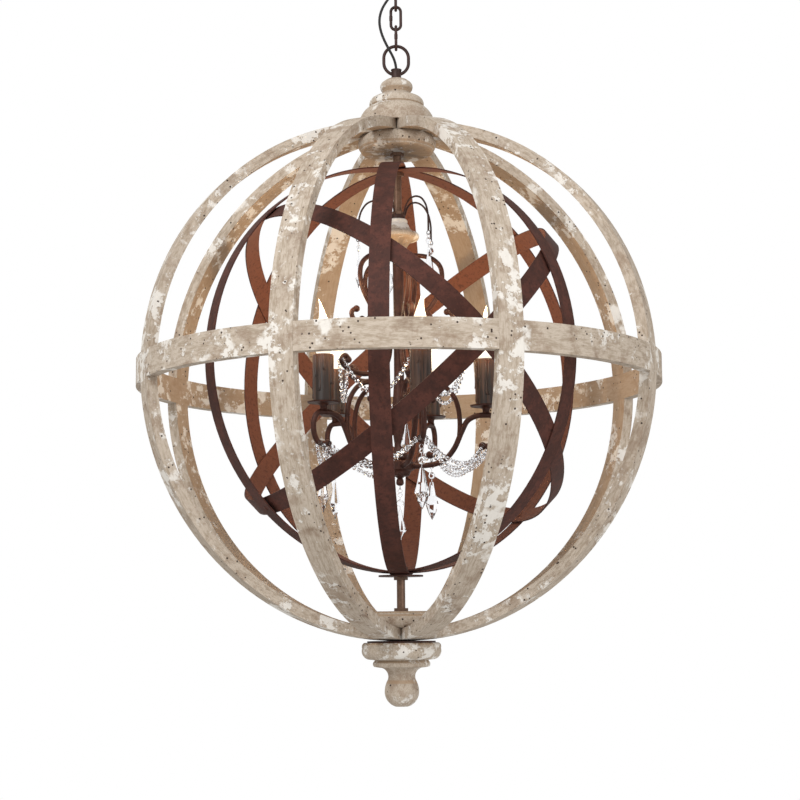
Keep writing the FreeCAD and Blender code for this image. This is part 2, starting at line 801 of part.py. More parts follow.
upper_eye_height = hook_end - eye_radius
upper_pendant = make_pendant(upper_eye_height, 3.0, [bead_radius], upper_drop)
lower_pendant = make_pendant(arm_eye_height, 4.0, [small_bead_radius, bead_radius], lower_drop)
centre_pendant = make_pendant(centre_eye_height, 3.0, [small_bead_radius, bead_radius], centre_drop)
for n, angle in enumerate(hook_angles):
    save(turn(upper_pendant, angle).translated(place(angle, hook_reach, 0)), "upper_pendant_%d" % (n + 1))
for n, angle in enumerate(light_angles):
    save(turn(lower_pendant, angle).translated(place(angle, arm_eye_radius, 0)), "lower_pendant_%d" % (n + 1))
save(centre_pendant, "centre_pendant")
inner_pendant = make_pendant(brace_eye_height, 3.0, [small_bead_radius, bead_radius], centre_drop)
inner_pendant = turn(inner_pendant, light_angles[0])
save(inner_pendant.translated(place(light_angles[0], brace_eye_radius, 0)), "inner_pendant")


def bead_string(points, radius):
    """Six-sided beads strung end to end along a polyline, a hair apart where it bends."""
    beads = []
    for a, b in zip(points, points[1:]):
        length = (b - a).Length
        half = length / 2 - string_gap
        stone = cut_stone([(radius * 0.3, -half), (radius, 0.0), (radius * 0.3, half)], 6)
        stone.Placement = FreeCAD.Placement((a + b) * 0.5, FreeCAD.Rotation(UP, b - a))
        beads.append(stone)
    return beads


def swag(start, end, drop, count):
    """Points of a string that hangs between two ends with a sag."""
    points = []
    for k in range(count + 1):
        t = k / count
        points.append(start * (1 - t) + end * t - UP * drop * 4 * t * (1 - t))
    return points


strings = []
for n, angle in enumerate(light_angles):
    next_angle = light_angles[(n + 1) % light_count]
    for radius, height, reach, drop, count in (
        (arm_eye_radius + 6, arm_low, arm_radius, 26.0, 15),
        (arm_eye_radius - 6, arm_low, scroll_ball_radius, 31.0, 14),
        (scroll_tip_radius - 1.5, scroll_tip_height, scroll_radius + 1.5, 44.0, 14),
    ):
        start = place(angle, radius, height) + side(angle + 90) * (reach + string_seat)
        end = place(next_angle, radius, height) - side(next_angle + 90) * (reach + string_seat)
        strings += bead_string(swag(start, end, drop, count), small_bead_radius)
save(Part.makeCompound(strings), "bead_garlands")


# ---- chain ----
def link_loop(length, width, wire):
    """A link in the XZ plane, centred on the origin."""
    bend = (width - wire) / 2
    straight = length - width
    half = straight / 2
    right = Part.makeLine(V(bend, 0, -half), V(bend, 0, half))
    left = Part.makeLine(V(-bend, 0, half), V(-bend, 0, -half))
    top = Part.Arc(V(bend, 0, half), V(0, 0, half + bend), V(-bend, 0, half)).toShape()
    low = Part.Arc(V(-bend, 0, -half), V(0, 0, -half - bend), V(bend, 0, -half)).toShape()
    path = Part.Wire([right, top, left, low])
    section = Part.Wire([Part.makeCircle(wire / 2, V(bend, 0, -half), UP)])
    return path.makePipeShell([section], True, False)


def make_link():
    link = link_loop(link_length, link_width, link_wire)
    bend = (link_width - link_wire) / 2
    weld = Part.makeCylinder(link_wire / 2 + weld_swell, weld_length, V(-bend, 0, -weld_length / 2))
    return link.fuse(weld)


link = make_link()
for n in range(link_count):
    middle = first_link_foot + link_inner / 2 + n * link_pitch
    placed = link.translated(V(0, 0, middle))
    if n % 2 == 0:
        placed = turn(placed, 90)
    save(placed, "chain_link_%d" % (n + 1))


def screw_loop(height, width, wire, sink, collar_height, shank_bore):
    """A closed loop standing on a waisted, threaded collar whose base is at height 0."""
    loop_low = collar_height - sink
    loop = link_loop(height, width, wire).translated(V(0, 0, loop_low + height / 2))
    profile = [
        (collar_radius, 0.0),
        (collar_radius, 1.5),
        (collar_waist, collar_height * 0.5, -0.3),
        (collar_radius, collar_height, -0.4),
    ]
    body = loop.fuse(turned(profile, 0.0))
    body = body.cut(Part.makeCylinder(cord_hole_radius, collar_height + 1.0, V(0, 0, -0.5)))
    return body.cut(Part.makeCylinder(shank_bore, collar_socket_depth + 1.0, V(0, 0, -1.0)))


hang_loop = screw_loop(hang_loop_height, hang_loop_width, hang_loop_wire, hang_loop_sink,
                       hang_collar_height, pipe_hole)
save(hang_loop.translated(V(0, 0, cap_top)), "hanging_loop")
canopy_loop = screw_loop(canopy_loop_height, canopy_loop_width, canopy_loop_wire, canopy_loop_sink,
                         canopy_collar_height, pipe_hole)
canopy_loop = turn(canopy_loop.rotated(CENTRE, V(1, 0, 0), 180), 90)
save(canopy_loop.translated(V(0, 0, canopy_face)), "canopy_loop")

# ---- canopy and bracket ----
canopy_outline = [
    (14.0, canopy_face),
    (17.0, canopy_face + 2.0),
    (34.0, canopy_face + 5.0, 1.0),
    (canopy_radius - 4.0, ceiling - 9.0, 4.0),
    (canopy_radius, ceiling - 6.0),
    (canopy_radius, ceiling),
]
hollow_outline = [
    (14.0, canopy_face + canopy_wall),
    (17.0, canopy_face + 2.0 + canopy_wall),
    (34.0, canopy_face + 5.0 + canopy_wall, 1.0),
    (canopy_radius - 4.0 - canopy_wall, ceiling - 9.0 + canopy_wall, 4.0),
    (canopy_radius - canopy_wall, ceiling - 6.0 + canopy_wall),
    (canopy_radius - canopy_wall, ceiling + 1.0),
]
canopy = turned(canopy_outline, pipe_hole).cut(turned(hollow_outline, 0.0))
save(canopy, "canopy")

bracket_low = ceiling - bracket_thickness
bracket = Part.makeBox(bracket_length, bracket_width, bracket_thickness,
                       V(-bracket_length / 2, -bracket_width / 2, bracket_low))
bracket = bracket.cut(Part.makeCylinder(pipe_radius, bracket_thickness + 2, V(0, 0, bracket_low - 1)))
for way in (-1, 1):
    for end in (-1, 1):
        x = way * slot_pitch / 2 + end * (slot_length / 2 - slot_radius)
        bracket = bracket.cut(Part.makeCylinder(slot_radius, bracket_thickness + 2, V(x, 0, bracket_low - 1)))
    slot = Part.makeBox(slot_length - 2 * slot_radius, 2 * slot_radius, bracket_thickness + 2,
                        V(way * slot_pitch / 2 - slot_length / 2 + slot_radius, -slot_radius, bracket_low - 1))
    bracket = bracket.cut(slot)
save(bracket, "mounting_bracket")
nipple_low = canopy_face - collar_socket_depth + 0.5
save(disc(pipe_radius, nipple_low, ceiling - nipple_low, pipe_bore_radius), "canopy_nipple")

# ---- supply cord ----
cord_foot = cap_top + hang_collar_height
cord_head = canopy_face - canopy_collar_height
cord_points = [
    V(0, 0, cord_foot - 5.0),
    V(0, 0, cord_foot + 4.0),
    V(-2.8, -3, cord_foot + 14.0),
    V(-8.5, -6.5, cord_foot + 24.0),
    V(-14.5, -8.5, cord_foot + 35.0),
    V(-19.5, -9.5, cord_foot + 48.0),
    V(-21.5, -10.2, cord_foot + 61.5),
    V(-19, -10.8, cord_foot + 74.5),
    V(-12.5, -11.2, cord_foot + 86.5),
    V(-3.5, -11.6, cord_foot + 97.5),
    V(5, -11.4, cord_head - 43.0),
    V(9.5, -10, cord_head - 30.0),
    V(8.5, -7, cord_head - 18.5),
    V(4.6, -3.6, cord_head - 8.5),
    V(0.8, -0.6, cord_head - 0.5),
    V(0, 0, cord_head + 6.0),
]
cord, cord_length, cord_radii = rod(cord_points, cord_diameter / 2)
section_area = 3.14159265 * cord_diameter ** 2 / 4
print("cord radii", [round(r, 1) for r in cord_radii])
print("cord length", round(cord_length, 1), "volume", round(cord.Volume, 1), "expected", round(section_area * cord_length, 1))
save(cord, "cord")
print("ceiling above globe centre", round(ceiling, 2))
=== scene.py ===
# %% [markdown]
# # Orb chandelier
# An open globe of whitewashed wood, a cage of rust-bronze straps and a candle-style candelabra with
# cut glass. The engineered solids give every size; this notebook dresses them.

# %% Load the solids
import json
from math import cos, pi, radians, sin

import bmesh
import bpy
from mathutils import Matrix, Vector


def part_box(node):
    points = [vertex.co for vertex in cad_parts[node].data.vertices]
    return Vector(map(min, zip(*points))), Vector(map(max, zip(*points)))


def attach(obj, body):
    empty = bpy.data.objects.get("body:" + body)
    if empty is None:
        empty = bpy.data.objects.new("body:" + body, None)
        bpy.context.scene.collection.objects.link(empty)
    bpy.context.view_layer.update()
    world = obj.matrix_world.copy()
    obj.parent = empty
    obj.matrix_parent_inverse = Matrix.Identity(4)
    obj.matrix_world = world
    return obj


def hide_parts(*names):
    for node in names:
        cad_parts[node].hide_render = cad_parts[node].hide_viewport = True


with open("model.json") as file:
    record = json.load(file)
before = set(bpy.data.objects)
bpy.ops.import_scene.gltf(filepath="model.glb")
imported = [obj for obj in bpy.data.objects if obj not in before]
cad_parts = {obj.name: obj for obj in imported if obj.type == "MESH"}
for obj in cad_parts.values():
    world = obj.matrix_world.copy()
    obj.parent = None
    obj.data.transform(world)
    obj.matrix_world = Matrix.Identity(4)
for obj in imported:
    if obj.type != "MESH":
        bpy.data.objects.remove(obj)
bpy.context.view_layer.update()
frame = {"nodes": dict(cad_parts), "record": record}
nodes = frame["nodes"]
hoop_low, hoop_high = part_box("equator_hoop")
hoop_rise = 0.0025
globe_centre = (hoop_low[2] + hoop_high[2]) / 2 - hoop_rise
light_count = 5
first_arm_angle = 13.7
candle_circle = 0.108
print("globe centre height", round(globe_centre, 4))


def side(angle):
    """Level direction at an angle round the lamp, 0 to the front, positive to the right."""
    return Vector((sin(radians(angle)), -cos(radians(angle)), 0))


light_angles = [first_arm_angle + 360 / light_count * n for n in range(light_count)]

# %% [markdown]
# ## Camera and light
# The picture was taken from below the globe's middle with a long lens, tilted up a little.

# %% Camera
camera_distance_back = 2.0885
camera_below_centre = 0.3049
focal_in_widths = 1688.74 / 800
right = Vector((0.99996, 0, -0.00909))
up = Vector((0.00901, -0.13176, 0.99124))
back = right.cross(up)
camera = bpy.data.objects.new("camera", bpy.data.cameras.new("camera"))
camera.data.sensor_width = 36
camera.data.lens = 36 * focal_in_widths
camera.matrix_world = Matrix((
    (right.x, up.x, back.x, -0.0016),
    (right.y, up.y, back.y, -camera_distance_back),
    (right.z, up.z, back.z, globe_centre - camera_below_centre),
    (0, 0, 0, 1)))
bpy.context.collection.objects.link(camera)
bpy.context.scene.camera = camera
bpy.context.scene.view_settings.view_transform = "Standard"


# %% Studio light
def area_light(name, place, aim, size, power):
    """A square soft light that faces aim."""
    data = bpy.data.lights.new(name, "AREA")
    data.size = size
    data.energy = power
    lamp = bpy.data.objects.new(name, data)
    lamp.location = place
    lamp.rotation_euler = (Vector(aim) - Vector(place)).to_track_quat("-Z", "Y").to_euler()
    bpy.context.collection.objects.link(lamp)


def white_world():
    """White behind the lamp, a little softer as light on it."""
    world = bpy.data.worlds.new("white room")
    bpy.context.scene.world = world
    world.use_nodes = True
    tree = world.node_tree
    tree.nodes.clear()
    out = tree.nodes.new("ShaderNodeOutputWorld")
    rays = tree.nodes.new("ShaderNodeLightPath")
    seen = tree.nodes.new("ShaderNodeMath")
    seen.operation = "MAXIMUM"
    tree.links.new(rays.outputs["Is Camera Ray"], seen.inputs[0])
    tree.links.new(rays.outputs["Is Transmission Ray"], seen.inputs[1])
    white = tree.nodes.new("ShaderNodeBackground")
    white.inputs["Color"].default_value = (1, 1, 1, 1)
    soft = tree.nodes.new("ShaderNodeBackground")
    soft.inputs["Color"].default_value = (1.0, 0.98, 0.95, 1)
    soft.inputs["Strength"].default_value = 0.75
    mix = tree.nodes.new("ShaderNodeMixShader")
    tree.links.new(seen.outputs[0], mix.inputs[0])
    tree.links.new(soft.outputs[0], mix.inputs[1])
    tree.links.new(white.outputs[0], mix.inputs[2])
    tree.links.new(mix.outputs[0], out.inputs["Surface"])


white_world()
middle = (0, 0, globe_centre)
area_light("key", (-1.0, -2.0, globe_centre + 1.3), middle, 1.3, 42)
area_light("fill", (1.6, -1.6, globe_centre - 0.2), middle, 1.8, 16)
for n, angle in enumerate(light_angles):
    glow = bpy.data.lights.new("candle_glow_%d" % n, "POINT")
    glow.energy = 0.3
    glow.color = (1.0, 0.72, 0.42)
    glow.shadow_soft_size = 0.012
    lamp = bpy.data.objects.new(glow.name, glow)
    lamp.location = side(angle) * candle_circle + Vector((0, 0, globe_centre + 0.1))
    bpy.context.collection.objects.link(lamp)

# %% [markdown]
# ## Supply cord
# A limp black cord leaves the loop's collar, bows out to the left and climbs in front of the chain.

# %% Cord
cord_diameter = 0.0033
hanging_loop_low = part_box("hanging_loop")[0]
canopy_loop_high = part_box("canopy_loop")[1]
cord_foot = hanging_loop_low[2] + 0.014
cord_head = canopy_loop_high[2] - 0.011
cord_points = [
    (0, 0, cord_foot - 0.005), (0, 0, cord_foot + 0.004), (-0.0028, -0.003, cord_foot + 0.014),
    (-0.0085, -0.0065, cord_foot + 0.024), (-0.0145, -0.0085, cord_foot + 0.035),
    (-0.0195, -0.0095, cord_foot + 0.048), (-0.0215, -0.0102, cord_foot + 0.0615),
    (-0.019, -0.0108, cord_foot + 0.0745), (-0.0125, -0.0112, cord_foot + 0.0865),
    (-0.0035, -0.0116, cord_foot + 0.0975), (0.005, -0.0114, cord_head - 0.043),
    (0.0095, -0.01, cord_head - 0.03), (0.0085, -0.007, cord_head - 0.0185),
    (0.0046, -0.0036, cord_head - 0.0085), (0.0008, -0.0006, cord_head - 0.0005),
    (0, 0, cord_head + 0.006),
]


def make_cord():
    """The cord as a capped tube, and the points of its middle line."""
    data = bpy.data.curves.new("cord", "CURVE")
    data.dimensions = "3D"
    data.bevel_resolution = 4
    data.use_fill_caps = True
    data.resolution_u = 12
    line = data.splines.new("NURBS")
    line.points.add(len(cord_points) - 1)
    for point, place in zip(line.points, cord_points):
        point.co = (*place, 1)
    line.order_u = 3
    line.use_endpoint_u = True
    guide = bpy.data.objects.new("cord guide", data)
    bpy.context.collection.objects.link(guide)
    route = plain_mesh(guide)
    data.bevel_depth = cord_diameter / 2
    tube = plain_mesh(guide)
    bpy.data.objects.remove(guide)
    piece = bpy.data.objects.new("supply_cord", tube)
    bpy.context.collection.objects.link(piece)
    return piece, [tuple(vertex.co) for vertex in route.vertices]


def plain_mesh(guide):
    """The guide's present shape as a welded mesh."""
    depsgraph = bpy.context.evaluated_depsgraph_get()
    data = bpy.data.meshes.new_from_object(guide.evaluated_get(depsgraph))
    shape = bmesh.new()
    shape.from_mesh(data)
    bmesh.ops.remove_doubles(shape, verts=shape.verts, dist=1e-6)
    bmesh.ops.recalc_face_normals(shape, faces=shape.faces)
    shape.to_mesh(data)
    shape.free()
    for face in data.polygons:
        face.use_smooth = True
    return data


cord, cord_path = make_cord()
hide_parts("cord")
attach(cord, "ceiling_group")


# %% [markdown]
# ## Materials
# Each finish is a small recipe of noise masks. The shared groups give colours, masks and heights.

# %% Shading helpers
class Recipe:
    """Short names for building a node tree."""

    def __init__(self, tree):
        self.tree = tree

    def put(self, kind, **settings):
        node = self.tree.nodes.new("ShaderNode" + kind)
        for key, value in settings.items():
            setattr(node, key, value)
        return node

    def join(self, source, target):
        self.tree.links.new(source, target)

    def math(self, operation, a, b=0.5):
        node = self.put("Math", operation=operation)
        for socket, value in zip(node.inputs, (a, b)):
            if hasattr(value, "links"):
                self.join(value, socket)
            else:
                socket.default_value = value
        return node.outputs[0]

    def steps(self, value, low, high):
        """0 below low, 1 above high, smooth between."""
        node = self.put("MapRange", interpolation_type="SMOOTHSTEP")
        node.inputs["From Min"].default_value = low
        node.inputs["From Max"].default_value = high
        self.join(value, node.inputs["Value"])
        return node.outputs["Result"]

    def mix(self, mask, a, b):
        node = self.put("Mix", data_type="RGBA")
        for socket, value in ((node.inputs[0], mask), (node.inputs[6], a), (node.inputs[7], b)):
            if hasattr(value, "links"):
                self.join(value, socket)
            elif isinstance(value, tuple):
                socket.default_value = (*value, 1)
            else:
                socket.default_value = value
        return node.outputs[2]

    def noise(self, vector, scale, detail=4, rough=0.6):
        node = self.put("TexNoise")
        self.join(vector, node.inputs["Vector"])
        node.inputs["Scale"].default_value = scale
        node.inputs["Detail"].default_value = detail
        node.inputs["Roughness"].default_value = rough
        return node.outputs["Fac"]

    def spots(self, vector, scale, size):
        node = self.put("TexVoronoi")
        self.join(vector, node.inputs["Vector"])
        node.inputs["Scale"].default_value = scale
        return self.math("LESS_THAN", node.outputs["Distance"], size)


def globe_group():
    """Where a point lies on the globe: along, across and depth, and whether its face looks inwards."""
    group = bpy.data.node_groups.new("globe coordinates", "ShaderNodeTree")
    for name, kind in (("Meridian", "NodeSocketVector"), ("Parallel", "NodeSocketVector"),
                       ("Place", "NodeSocketVector"), ("Inside", "NodeSocketFloat")):
        group.interface.new_socket(name, in_out="OUTPUT", socket_type=kind)
    r = Recipe(group)
    place = r.put("TexCoord").outputs["Object"]
    centred = r.put("VectorMath", operation="SUBTRACT")
    centred.inputs[1].default_value = (0, 0, globe_centre)
    r.join(place, centred.inputs[0])
    xyz = r.put("SeparateXYZ")
    r.join(centred.outputs[0], xyz.inputs[0])
    x, y, z = xyz.outputs
    level = r.math("SQRT", r.math("ADD", r.math("MULTIPLY", x, x), r.math("MULTIPLY", y, y)))
    radius = r.put("VectorMath", operation="LENGTH")
    r.join(centred.outputs[0], radius.inputs[0])
    height = r.math("ARCTAN2", z, level)
    turn = r.math("ARCTAN2", x, r.math("MULTIPLY", y, -1.0))
    out = group.nodes.new("NodeGroupOutput")
    for index, (along, across) in enumerate(((height, turn), (turn, z))):
        vector = r.put("CombineXYZ")
        r.join(r.math("MULTIPLY", along, 2.6), vector.inputs[0])
        r.join(r.math("MULTIPLY", across, 34.0 if index else 13.0), vector.inputs[1])
        r.join(r.math("MULTIPLY", radius.outputs["Value"], 34.0), vector.inputs[2])
        r.join(vector.outputs[0], out.inputs[index])
    r.join(place, out.inputs["Place"])
    facing = r.put("VectorMath", operation="DOT_PRODUCT")
    r.join(r.put("NewGeometry").outputs["Normal"], facing.inputs[0])
    unit = r.put("VectorMath", operation="NORMALIZE")
    r.join(centred.outputs[0], unit.inputs[0])
    r.join(unit.outputs[0], facing.inputs[1])
    r.join(r.math("LESS_THAN", facing.outputs["Value"], -0.3), out.inputs["Inside"])
    return group


globe_coordinates = globe_group()


def new_material(name):
    """A material with its recipe, its shader and the globe coordinates."""
    material = bpy.data.materials.new(name)
    material.use_nodes = True
    tree = material.node_tree
    recipe = Recipe(tree)
    where = recipe.put("Group", node_tree=globe_coordinates)
    return material, recipe, tree.nodes["Principled BSDF"], where


def add_bump(recipe, shader, height, strength, distance):
    bump = recipe.put("Bump")
    bump.inputs["Strength"].default_value = strength
    bump.inputs["Distance"].default_value = distance
    recipe.join(height, bump.inputs["Height"])
    recipe.join(bump.outputs["Normal"], shader.inputs["Normal"])


# %% Whitewashed wood
bare_wood = (0.21, 0.135, 0.085)
grey_wash = (0.33, 0.265, 0.20)
pale_wash = (0.50, 0.43, 0.355)
paint_white = (0.78, 0.76, 0.72)
brown_wear = (0.15, 0.085, 0.048)
worm_dark = (0.04, 0.024, 0.016)
# Raw wood tone plus painted warm lamp light, laid on faces that look into the globe.
inside_raw_wood_and_lamp_light = (0.33, 0.215, 0.125)


def wood_material(name, coordinates):
    """Bare wood, washes, dirt, wear, chipped white paint and worm holes, one over the other."""
    material, r, shader, where = new_material(name)
    place = where.outputs["Place"]
    grain = r.noise(where.outputs[coordinates], 9.0, 8, 0.7)
    broad = r.noise(place, 14.0, 5)
    flakes = r.noise(place, 46.0, 8, 0.68)
    patch = r.noise(place, 33.0, 7, 0.7)
    colour = r.mix(r.steps(grain, 0.36, 0.62), grey_wash, pale_wash)
    colour = r.mix(r.math("MULTIPLY", r.steps(patch, 0.5, 0.64), 0.5), colour, bare_wood)
    colour = r.mix(r.math("MULTIPLY", r.steps(grain, 0.56, 0.72), 0.5), colour, bare_wood)
    dirt = r.steps(r.noise(place, 120.0, 6, 0.7), 0.54, 0.7)
    colour = r.mix(r.math("MULTIPLY", dirt, 0.45), colour, bare_wood)
    wear = r.math("MULTIPLY", r.steps(r.noise(place, 22.0, 6), 0.56, 0.68), r.steps(flakes, 0.4, 0.6))
    colour = r.mix(r.math("MULTIPLY", wear, 0.6), colour, brown_wear)
    # Faces that look into the globe get raw wood colour plus painted warm light from the lamps.
    colour = r.mix(r.math("MULTIPLY", where.outputs["Inside"], 0.62), colour, inside_raw_wood_and_lamp_light)
    paint = r.math("MULTIPLY", r.steps(broad, 0.515, 0.57), r.steps(flakes, 0.495, 0.52))
    chips = r.steps(r.noise(place, 75.0, 8, 0.75), 0.575, 0.595)
    paint = r.math("MAXIMUM", paint, r.math("MULTIPLY", chips, r.steps(broad, 0.44, 0.5)))
    colour = r.mix(r.math("MULTIPLY", paint, 0.72), colour, paint_white)
    holes = r.math("MULTIPLY", r.spots(place, 130.0, 0.16), r.steps(r.noise(place, 30.0, 2), 0.5, 0.55))
    colour = r.mix(holes, colour, worm_dark)
    r.join(colour, shader.inputs["Base Color"])
    r.join(r.math("SUBTRACT", 0.86, r.math("MULTIPLY", paint, 0.2)), shader.inputs["Roughness"])
    height = r.math("ADD", r.math("MULTIPLY", grain, 0.6), r.math("MULTIPLY", paint, 0.35))
    height = r.math("SUBTRACT", height, r.math("MULTIPLY", holes, 0.9))
    add_bump(r, shader, height, 0.5, 0.0012)
    return material


rib_wood = wood_material("whitewashed rib", "Meridian")
hoop_wood = wood_material("whitewashed hoop", "Parallel")


# %% Rust-bronze straps and dark bronze iron
def metal_material(name, outer, inner, rough, metallic, mottle):
    """Mottled metal, in its outer colour outside and its inner colour on faces towards the centre."""
    material, r, shader, where = new_material(name)
    place = where.outputs["Place"]
    cloud = r.noise(place, 55.0, 6, 0.65)
    fine = r.noise(place, 420.0, 3)
    grain = r.noise(place, 230.0, 5, 0.75)
    lifted = tuple(min(1.0, c * (1 + mottle)) for c in outer)
    colour = r.mix(r.steps(cloud, 0.4, 0.65), outer, lifted)
    colour = r.mix(where.outputs["Inside"], colour, inner)
    colour = r.mix(r.math("MULTIPLY", r.steps(fine, 0.6, 0.72), 0.45), colour, inner)
    pitted = tuple(c * 0.45 for c in outer)
    colour = r.mix(r.math("MULTIPLY", r.steps(grain, 0.5, 0.62), 0.5), colour, pitted)
    r.join(colour, shader.inputs["Base Color"])
    shader.inputs["Metallic"].default_value = metallic
    r.join(r.math("ADD", rough, r.math("MULTIPLY", cloud, 0.15)), shader.inputs["Roughness"])
    shader.inputs["Specular IOR Level"].default_value = 0.3
    add_bump(r, shader, grain, 0.3, 0.0005)
    return material


strap_bronze = metal_material("rust bronze strap", (0.050, 0.0155, 0.0105), (0.135, 0.045, 0.024),
                              0.62, 0.0, 0.7)
dark_bronze = metal_material("dark bronze", (0.044, 0.015, 0.0095), (0.085, 0.030, 0.018), 0.42, 0.15, 0.6)
black_iron = metal_material("black iron", (0.030, 0.0135, 0.011), (0.05, 0.022, 0.016), 0.42, 0.2, 0.5)
bronzed_steel = metal_material("bronzed steel", (0.16, 0.10, 0.07), (0.2, 0.12, 0.08), 0.35, 0.7, 0.3)
holder_black = metal_material("moulded holder", (0.02, 0.02, 0.02), (0.03, 0.03, 0.03), 0.5, 0.0, 0.2)
cord_black = metal_material("cord jacket", (0.014, 0.013, 0.013), (0.02, 0.02, 0.02), 0.55, 0.0, 0.2)
cord.data.materials.append(cord_black)


# %% Candle resin
def resin_material():
    """Dark wax-like resin with long runs, warmer towards the lamp."""
    material, r, shader, where = new_material("candle resin")
    place = where.outputs["Place"]
    xyz = r.put("SeparateXYZ")
    r.join(place, xyz.inputs[0])
    sleeve_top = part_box("candle_sleeves")[1][2]
    glow = r.steps(xyz.outputs[2], sleeve_top - 0.03, sleeve_top + 0.004)
    streak = r.put("Mapping")
    streak.inputs["Scale"].default_value = (1, 1, 0.06)
    r.join(place, streak.inputs[0])
    run = r.noise(streak.outputs[0], 260.0, 4)
    colour = r.mix(r.steps(run, 0.42, 0.62), (0.022, 0.014, 0.011), (0.085, 0.04, 0.024))
    colour = r.mix(r.math("MULTIPLY", glow, 0.6), colour, (0.16, 0.07, 0.035))
    r.join(colour, shader.inputs["Base Color"])
    shader.inputs["Roughness"].default_value = 0.42
    shader.inputs["Subsurface Weight"].default_value = 0.1
    add_bump(r, shader, run, 0.35, 0.0008)
    return material


candle_resin = resin_material()


# %% Glass
def glass_material(name, colour, rough):
    """Clear lead glass with the least trace of haze."""
    material, r, shader, where = new_material(name)
    haze = r.noise(where.outputs["Place"], 160.0, 2)
    r.join(r.math("ADD", rough, r.math("MULTIPLY", haze, 0.02)), shader.inputs["Roughness"])
    shader.inputs["Base Color"].default_value = (*colour, 1)
    shader.inputs["Transmission Weight"].default_value = 1.0
    shader.inputs["IOR"].default_value = 1.54
    return material


cut_glass = glass_material("cut glass", (0.97, 0.98, 1.0), 0.0)


def lit_lamp_material():
    """Frosted flame lamp, lit: cream at the tip, whiter towards the hot middle."""
    material, r, shader, where = new_material("lit lamp")
    place = where.outputs["Place"]
    xyz = r.put("SeparateXYZ")
    r.join(place, xyz.inputs[0])
    lamp_middle = (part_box("bulbs")[0][2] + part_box("bulbs")[1][2]) / 2 + 0.01
    tip = r.steps(xyz.outputs[2], lamp_middle, lamp_middle + 0.035)
    cloud = r.noise(place, 120.0, 2)
    body = r.mix(tip, (1.0, 0.93, 0.80), (0.93, 0.84, 0.68))
    warm = r.mix(r.math("MULTIPLY", cloud, 0.3), body, (1.0, 0.9, 0.75))
    r.join(warm, shader.inputs["Base Color"])
    r.join(warm, shader.inputs["Emission Color"])
    shader.inputs["Emission Strength"].default_value = 0.72
    shader.inputs["Roughness"].default_value = 0.12
    return material


bulb_glass = lit_lamp_material()

# %% Dress the solids
finishes = {
    "whitewashed_wood": rib_wood, "rust_bronze_strap": strap_bronze, "dark_bronze": dark_bronze,
    "black_iron": black_iron, "zinc_steel": bronzed_steel, "candle_resin": candle_resin,
    "holder_phenolic": holder_black, "bulb_glass": bulb_glass, "cut_glass": cut_glass,
    "cord_black": cord_black,
}
round_wood = ("equator_hoop", "top_cap", "finial", "top_disc", "bottom_disc", "urn")
slot_of = {entry["node"]: entry["material_slot"] for entry in frame["record"]["subparts"]}
for name, piece in nodes.items():
    finish = finishes[slot_of[name]]
    if name in round_wood:
        finish = hoop_wood
    piece.data.materials.clear()
    piece.data.materials.append(finish)
print("dressed", len(nodes), "solids")


# %% [markdown]
# ## Lamps and wax
# Lit flame lamps with a bent tip, and wax runs down every candle sleeve.

# %% Turned pieces
def new_piece(name, mesh_maker, material):
    """A piece on the globe whose mesh mesh_maker draws."""
    shape = bmesh.new()
    mesh_maker(shape)
    bmesh.ops.remove_doubles(shape, verts=shape.verts, dist=1e-7)
    bmesh.ops.recalc_face_normals(shape, faces=shape.faces)
    data = bpy.data.meshes.new(name)
    shape.to_mesh(data)
    shape.free()
    for face in data.polygons:
        face.use_smooth = True
    data.materials.append(material)
    piece = bpy.data.objects.new(name, data)
    bpy.context.collection.objects.link(piece)
    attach(piece, "globe")
    return piece


def lathe(shape, profile, centre, bend=None, around=24):
    """A closed turned form; bend(height) moves each level sideways."""
    rings = []
    for radius, height in profile:
        shift = bend(height) if bend else Vector((0, 0, 0))
        base = centre + shift + Vector((0, 0, height))
        if radius < 1e-6:
            rings.append([shape.verts.new(base)])
        else:
            rings.append([shape.verts.new(base + Vector((radius * cos(2 * pi * k / around),
                                                         radius * sin(2 * pi * k / around), 0)))
                          for k in range(around)])
    for low, high in zip(rings, rings[1:]):
        for k in range(around):
            a, b = low[k % len(low)], low[(k + 1) % len(low)]
            c, d = high[(k + 1) % len(high)], high[k % len(high)]
            corners = [v for i, v in enumerate((a, b, c, d)) if v not in (a, b, c, d)[:i]]
            if len(corners) > 2:
                shape.faces.new(corners)


# %% Flame lamps
bulb_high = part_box("bulbs")[1]
sleeve_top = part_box("candle_sleeves")[1][2]
lamp_tip = bulb_high[2] - 0.001
lamp_foot = sleeve_top - 0.004
lamp_radius = 0.0129
lamp_wall = 0.0006
lamp_bend = 0.0055
lamp_bend_start = 0.55
lamp_leans = (80, 150, -60, 20, -90)


def flame_profile(inset):
    """Outer outline of the lamp, drawn in by inset for the inner wall."""
    tall = lamp_tip - lamp_foot
    shares = [(0.42, 0.0), (0.62, 0.07), (0.88, 0.15), (1.0, 0.25), (0.98, 0.33), (0.85, 0.43),
              (0.66, 0.53), (0.48, 0.63), (0.35, 0.72), (0.245, 0.81), (0.155, 0.89), (0.07, 0.96)]
    return [(lamp_radius * share - inset, tall * level) for share, level in shares]


def make_lamps(shape):
    """Five hollow flame lamps, each with its tip bent its own way."""
    tall = lamp_tip - lamp_foot
    for angle, lean in zip(light_angles, lamp_leans):
        centre = side(angle) * candle_circle + Vector((0, 0, lamp_foot))

        def bend(height):
            return side(lean) * lamp_bend * max(0.0, height / tall - lamp_bend_start) ** 2 * 5

        outer = [(0, 0)] + flame_profile(0) + [(0, tall)]
        hollow = [(max(r, lamp_wall / 2), h) for r, h in flame_profile(lamp_wall)][1:]
        inner = [(0, lamp_wall)] + hollow + [(0, tall * 0.97)]
        lathe(shape, outer, centre, bend)
        lathe(shape, inner[::-1], centre, bend)


lamps = new_piece("flame_lamps", make_lamps, bulb_glass)
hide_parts("bulbs")


# %% Wax runs
sleeve_radius = 0.0125
runs_per_sleeve = 11


